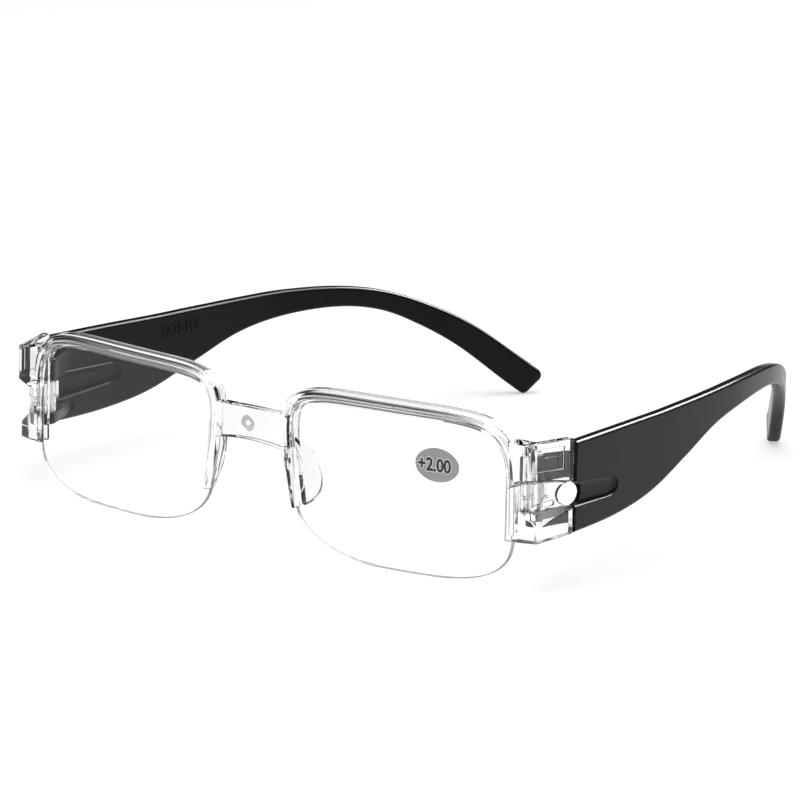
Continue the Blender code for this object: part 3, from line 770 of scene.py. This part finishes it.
def printed(name, colour, rough):
    made, nodes, links, shader = shader_of(name)
    fine = noise(nodes, links, 4000, 3)
    blend = nodes.new("ShaderNodeMix")
    blend.data_type = "RGBA"
    blend.inputs["A"].default_value = (*(0.94 * c for c in colour), 1)
    blend.inputs["B"].default_value = (*colour, 1)
    links.new(fine, blend.inputs["Factor"])
    links.new(blend.outputs["Result"], shader.inputs["Base Color"])
    links.new(mapped(nodes, links, fine, rough - 0.05, rough + 0.05), shader.inputs["Roughness"])
    return made


CLEAR = clear_plastic("clear_polycarbonate", (0.93, 0.935, 0.94), (0.0, 0.004), ior=1.52)
FROSTED = clear_plastic("frosted_gate_mark", (0.3, 0.3, 0.3), (0.35, 0.7), shade=0.7)
LENS = clear_plastic("coated_lens", (0.995, 0.997, 0.998), (0.0, 0.003), ior=1.22, shade=0.96)
LENS_EDGE = clear_plastic("ground_lens_edge", (0.3, 0.305, 0.31), (0.25, 0.4), ior=1.45)
LENS_EDGE.node_tree.nodes["Principled BSDF"].inputs["Transmission Weight"].default_value = 0.3
BLACK = black_plastic()
STEEL = steel()
FILM = printed("label_film", (0.36, 0.36, 0.36), 0.5)
INK = printed("label_ink", (0.01, 0.01, 0.01), 0.45)
HALO = printed("label_white", (0.9, 0.9, 0.9), 0.5)

# ---------------------------------------------------------------- the pieces
front = clear_front()
front.data.materials.clear()
front.data.materials.append(CLEAR)
front.data.materials.append(FROSTED)
for face in front.data.polygons:  # the gate mark's ring is frosted
    spot = face.center
    from_gate = math.hypot(spot.x, spot.z - GATE_Z) / GATE_RADIUS
    if GATE_RING_INNER < from_gate < 1.05 and 0.05 * MM < spot.y - BRIDGE_FRONT < 1.0 * MM:
        face.material_index = 1
finish_piece(front, "clear_front", "front", ["front_frame"])

for WORD, SIDE in SIDES.items():
    lens = lens_solid(WORD, SIDE, LENS_LAYERS)
    lens.data.materials.append(LENS)
    lens.data.materials.append(LENS_EDGE)
    for face in lens.data.polygons:  # the edge and its chamfers are ground, not polished
        face.material_index = 1 if abs(face.normal.y) < 0.9 else 0
    finish_piece(lens, WORD + "_clear_lens", "front", [WORD + "_lens"], 40)

    piece = temple(WORD, SIDE)
    piece.data.materials.clear()
    piece.data.materials.append(BLACK)
    finish_piece(piece, WORD + "_black_temple", WORD + "_temple", [WORD + "_temple"],
                 bevel=TEMPLE_BEVEL)

    screw = hinge_screw(WORD, SIDE)
    screw.data.materials.append(STEEL)
    finish_piece(screw, WORD + "_steel_screw", "front", [WORD + "_hinge_screw"])

figure_piece = size_figures("size")
figure_piece.data.materials.append(BLACK)
finish_piece(figure_piece, "right_temple_figures", "right_temple")

label = film("film", LABEL_HALF_WIDTH, LABEL_HALF_HEIGHT, GAP, GAP + LABEL_THICKNESS - 0.04 * MM)
label.data.materials.append(FILM)
finish_piece(label, "label_oval", "front", ["strength_label"])
PRINTS = (("label_halo", 0.3 * MM, 0.11, HALO), ("label_figures", 0.13 * MM, 0.13, INK))
for NAME, SPREAD, LIFT, LOOK in PRINTS:  # LIFT is how far each stands before the lens, past the gap
    mark = strength_figures(NAME, SPREAD, GAP + LIFT * MM, PRINT_THICKNESS)
    mark.data.materials.append(LOOK)
    finish_piece(mark, NAME, "front")

# ---------------------------------------------------------------- studio
floor_mesh = bpy.data.meshes.new("floor")
SPAN, FLOOR_Z = 5.0, -0.05 * MM
FLOOR_CORNERS = ((-SPAN, -SPAN), (SPAN, -SPAN), (SPAN, SPAN), (-SPAN, SPAN))
floor_mesh.from_pydata([(x, y, FLOOR_Z) for x, y in FLOOR_CORNERS], [], [(0, 1, 2, 3)])
floor = bpy.data.objects.new("floor", floor_mesh)
bpy.context.scene.collection.objects.link(floor)
made, nodes, links, shader = shader_of("white_table")
shader.inputs["Base Color"].default_value = (0.5, 0.5, 0.5, 1)
shader.inputs["Emission Color"].default_value = (1, 1, 1, 1)
shader.inputs["Emission Strength"].default_value = 0.5
shader.inputs["Roughness"].default_value = 0.9
shader.inputs["Specular IOR Level"].default_value = 0.1
floor_mesh.materials.append(made)

world = bpy.data.worlds.new("studio")
bpy.context.scene.world = world
world.use_nodes = True
nodes, links = world.node_tree.nodes, world.node_tree.links
background = nodes["Background"]
where, split, ramp = (nodes.new(kind) for kind in ("ShaderNodeTexCoord", "ShaderNodeSeparateXYZ",
                                                   "ShaderNodeValToRGB"))
links.new(where.outputs["Generated"], split.inputs[0])
links.new(split.outputs["Z"], ramp.inputs[0])
ramp.color_ramp.elements[0].position, ramp.color_ramp.elements[0].color = 0.0, (0.25, 0.25, 0.25, 1)
ramp.color_ramp.elements[1].position, ramp.color_ramp.elements[1].color = 1.0, (1.3, 1.3, 1.3, 1)
for position, level in ((0.04, 0.01), (0.5, 0.01), (0.66, 0.8)):  # dark low down, pale above
    stop = ramp.color_ramp.elements.new(position)
    stop.color = (level, level, level, 1)
path, pale, mix = (nodes.new(kind) for kind in ("ShaderNodeLightPath", "ShaderNodeBackground",
                                                "ShaderNodeMixShader"))
pale.inputs["Color"].default_value = (1, 1, 1, 1)
links.new(ramp.outputs[0], background.inputs["Color"])
links.new(path.outputs["Is Camera Ray"], mix.inputs[0])
links.new(background.outputs[0], mix.inputs[1])
links.new(pale.outputs[0], mix.inputs[2])
links.new(mix.outputs[0], nodes["World Output"].inputs["Surface"])


def softbox(name, place, target, size, power, only_gloss=False):
    lamp = bpy.data.lights.new(name, "AREA")
    lamp.shape, lamp.size, lamp.size_y, lamp.energy = "RECTANGLE", size[0], size[1], power
    lamp.use_shadow = not only_gloss
    obj = bpy.data.objects.new(name, lamp)
    obj.location = place
    obj.rotation_euler = (Vector(target) - Vector(place)).to_track_quat("-Z", "Y").to_euler()
    obj.visible_camera = False
    obj.visible_diffuse = not only_gloss
    bpy.context.scene.collection.objects.link(obj)


softbox("overhead", (0.05, 0.05, 0.9), (0, 0, 0), (0.7, 0.7), 4.6)
softbox("back", (0.1, 0.86, 0.66), (0, 0, 0.02), (0.8, 0.26), 30.0, only_gloss=True)

camera = bpy.data.objects.new("camera", bpy.data.cameras.new("camera"))
bpy.context.scene.collection.objects.link(camera)
bpy.context.scene.camera = camera
camera.data.sensor_width, camera.data.lens = 36.0, 292.5
camera.data.clip_start, camera.data.clip_end = 0.05, 20.0
CAMERA_PLACE = (0.80359, -1.05266 - MIDDLE_Y, 0.356772)
AZIMUTH, ELEVATION, ROLL = (math.radians(a) for a in (36.127, 13.818, 1.348))
BACK = Vector((math.sin(AZIMUTH) * math.cos(ELEVATION), -math.cos(AZIMUTH) * math.cos(ELEVATION),
               math.sin(ELEVATION)))
RIGHT = (-BACK).cross(Vector((0, 0, 1))).normalized()
UP = RIGHT.cross(-BACK)
ACROSS = RIGHT * math.cos(ROLL) + UP * math.sin(ROLL)
ALOFT = -RIGHT * math.sin(ROLL) + UP * math.cos(ROLL)
TURN = Matrix((ACROSS, ALOFT, BACK)).transposed().to_4x4()
camera.matrix_world = Matrix.Translation(CAMERA_PLACE) @ TURN
bpy.context.scene.view_settings.view_transform = "Standard"
